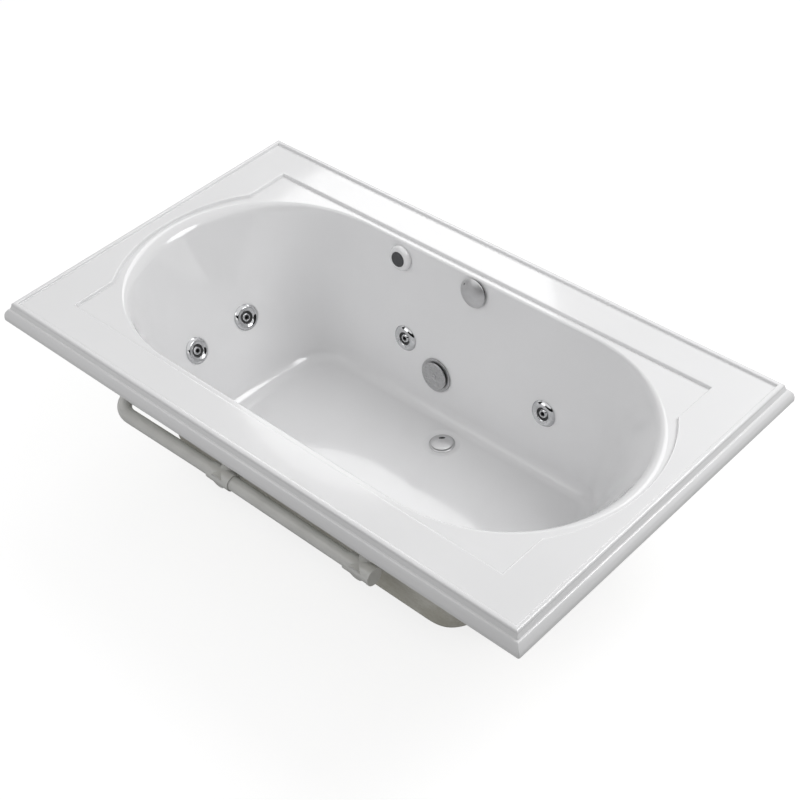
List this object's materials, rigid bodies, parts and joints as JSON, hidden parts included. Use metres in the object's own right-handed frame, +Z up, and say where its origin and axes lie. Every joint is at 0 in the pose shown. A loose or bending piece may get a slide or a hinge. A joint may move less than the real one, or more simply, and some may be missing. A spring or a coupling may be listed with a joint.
{
  "type": "jetted bathtub",
  "caption": "White drop-in jetted bath with a moulded rim, wall jets, suction, overflow and drain, and its pump and pipes.",
  "frame": {"origin": "middle of the rim outline in plan, on the surface that the base runners stand on", "axes": "+X along the bath, away from the pump end; +Y across it towards the side with the overflow; +Z up"},
  "size_m": [1.829, 1.067, 0.572],
  "materials": {
    "acrylic": "gloss",
    "plywood": "sawn, sealed",
    "timber": "sawn",
    "pvc_white": "satin",
    "cap_white": "gloss",
    "pvc_black": "satin",
    "pvc_clear": "satin",
    "rubber": "matte",
    "chrome": "polished",
    "satin": "satin",
    "steel": "satin",
    "zinc": "zinc plated",
    "grey": "satin",
    "cable": "satin",
    "pump_black": "satin",
    "impeller": "satin",
    "motor_paint": "satin",
    "laminations": "dull"
  },
  "bodies": {
    "tub": {"air_intake": "pvc_white", "air_pipes": "pvc_clear", "air_tube": "cable", "base_board": "plywood", "base_runners": "timber", "control_bezel": "cap_white", "control_body": "pvc_white", "discharge_tee": "pvc_white", "drain_cable": "cable", "drain_flange": "chrome", "drain_shoe": "pvc_black", "jet_bodies": "pvc_white", "motor_bearings": "steel", "motor_fan_cover": "motor_paint", "motor_housing": "motor_paint", "motor_stator": "laminations", "overflow_body": "pvc_black", "overflow_pipe": "pvc_black", "overflow_plate": "pvc_black", "overflow_screws": "steel", "pipe_plugs": "pvc_white", "pump_backplate": "pump_black", "pump_bolts": "steel", "pump_bracket": "zinc", "pump_seal": "rubber", "pump_union": "pvc_white", "pump_volute": "pump_black", "suction_body": "satin", "suction_cover": "satin", "suction_pipe": "pvc_white", "suction_screw": "steel", "terminal_box": "pump_black", "terminal_gland": "pump_black", "tub_shell": "acrylic", "tube_clips": "pvc_white", "wall_gaskets": "rubber", "wall_nuts": "pvc_white", "waste_tee": "pvc_black", "water_pipes": "pvc_white"},
    "jet_1_trim": {"jet_ring_1": "chrome"},
    "jet_1_aim": {"jet_nozzle_1": "chrome"},
    "jet_2_trim": {"jet_ring_2": "chrome"},
    "jet_2_aim": {"jet_nozzle_2": "chrome"},
    "jet_3_trim": {"jet_ring_3": "chrome"},
    "jet_3_aim": {"jet_nozzle_3": "chrome"},
    "jet_4_trim": {"jet_ring_4": "chrome"},
    "jet_4_aim": {"jet_nozzle_4": "chrome"},
    "jet_5_trim": {"jet_ring_5": "chrome"},
    "jet_5_aim": {"jet_nozzle_5": "chrome"},
    "jet_6_trim": {"jet_ring_6": "chrome"},
    "jet_6_aim": {"jet_nozzle_6": "chrome"},
    "overflow_knob": {"overflow_cap": "satin"},
    "stopper": {"drain_stopper": "chrome"},
    "button": {"control_button": "grey"},
    "rotor": {"pump_impeller": "impeller", "pump_shaft": "steel", "motor_rotor": "laminations", "motor_fan": "pump_black"}
  },
  "joints": [
    {"name": "jet_1_turn", "type": "hinge", "parent": "tub", "child": "jet_1_trim", "pos_m": [0.287, 0.33283, 0.249], "axis": [0, -0.9886, 0.1503], "range_deg": [-60, 60]},
    {"name": "jet_1_tilt", "type": "hinge", "parent": "jet_1_trim", "child": "jet_1_aim", "pos_m": [0.287, 0.34074, 0.2478], "axis": [0, 0.1503, 0.9886], "range_deg": [-12, 12]},
    {"name": "jet_2_turn", "type": "hinge", "parent": "tub", "child": "jet_2_trim", "pos_m": [-0.224, 0.33283, 0.249], "axis": [0, -0.9886, 0.1503], "range_deg": [-60, 60]},
    {"name": "jet_2_tilt", "type": "hinge", "parent": "jet_2_trim", "child": "jet_2_aim", "pos_m": [-0.224, 0.34074, 0.2478], "axis": [0, 0.1503, 0.9886], "range_deg": [-12, 12]},
    {"name": "jet_3_turn", "type": "hinge", "parent": "tub", "child": "jet_3_trim", "pos_m": [-0.65365, 0.099, 0.256], "axis": [0.8971, -0.1011, 0.4302], "range_deg": [-60, 60]},
    {"name": "jet_3_tilt", "type": "hinge", "parent": "jet_3_trim", "child": "jet_3_aim", "pos_m": [-0.66083, 0.09981, 0.25256], "axis": [-0.4275, 0.0482, 0.9028], "range_deg": [-12, 12]},
    {"name": "jet_4_turn", "type": "hinge", "parent": "tub", "child": "jet_4_trim", "pos_m": [-0.65365, -0.099, 0.256], "axis": [0.8971, 0.1011, 0.4302], "range_deg": [-60, 60]},
    {"name": "jet_4_tilt", "type": "hinge", "parent": "jet_4_trim", "child": "jet_4_aim", "pos_m": [-0.66083, -0.09981, 0.25256], "axis": [-0.4275, -0.0482, 0.9028], "range_deg": [-12, 12]},
    {"name": "jet_5_turn", "type": "hinge", "parent": "tub", "child": "jet_5_trim", "pos_m": [-0.224, -0.33283, 0.249], "axis": [0, 0.9886, 0.1503], "range_deg": [-60, 60]},
    {"name": "jet_5_tilt", "type": "hinge", "parent": "jet_5_trim", "child": "jet_5_aim", "pos_m": [-0.224, -0.34074, 0.2478], "axis": [0, -0.1503, 0.9886], "range_deg": [-12, 12]},
    {"name": "jet_6_turn", "type": "hinge", "parent": "tub", "child": "jet_6_trim", "pos_m": [0.287, -0.33283, 0.249], "axis": [0, 0.9886, 0.1503], "range_deg": [-60, 60]},
    {"name": "jet_6_tilt", "type": "hinge", "parent": "jet_6_trim", "child": "jet_6_aim", "pos_m": [0.287, -0.34074, 0.2478], "axis": [0, -0.1503, 0.9886], "range_deg": [-12, 12]},
    {"name": "overflow_turn", "type": "hinge", "parent": "tub", "child": "overflow_knob", "pos_m": [0.013, 0.3725, 0.51], "axis": [0, -0.9886, 0.1503], "range_deg": [0, 90]},
    {"name": "stopper_lift", "type": "slide", "parent": "tub", "child": "stopper", "axis": [0, 0, 1], "range_m": [0, 0.01]},
    {"name": "button_press", "type": "slide", "parent": "tub", "child": "button", "axis": [0, 0.9886, -0.1503], "range_m": [0, 0.003], "stiffness_N_per_m": 900},
    {"name": "rotor_spin", "type": "hinge", "parent": "tub", "child": "rotor", "pos_m": [-0.5, 0.44812, 0.125], "axis": [1, 0, 0], "continuous": true}
  ],
  "couplings": [
    {"joint": "stopper_lift", "follows": "overflow_turn", "m_per_rad": 0.006366}
  ]
}
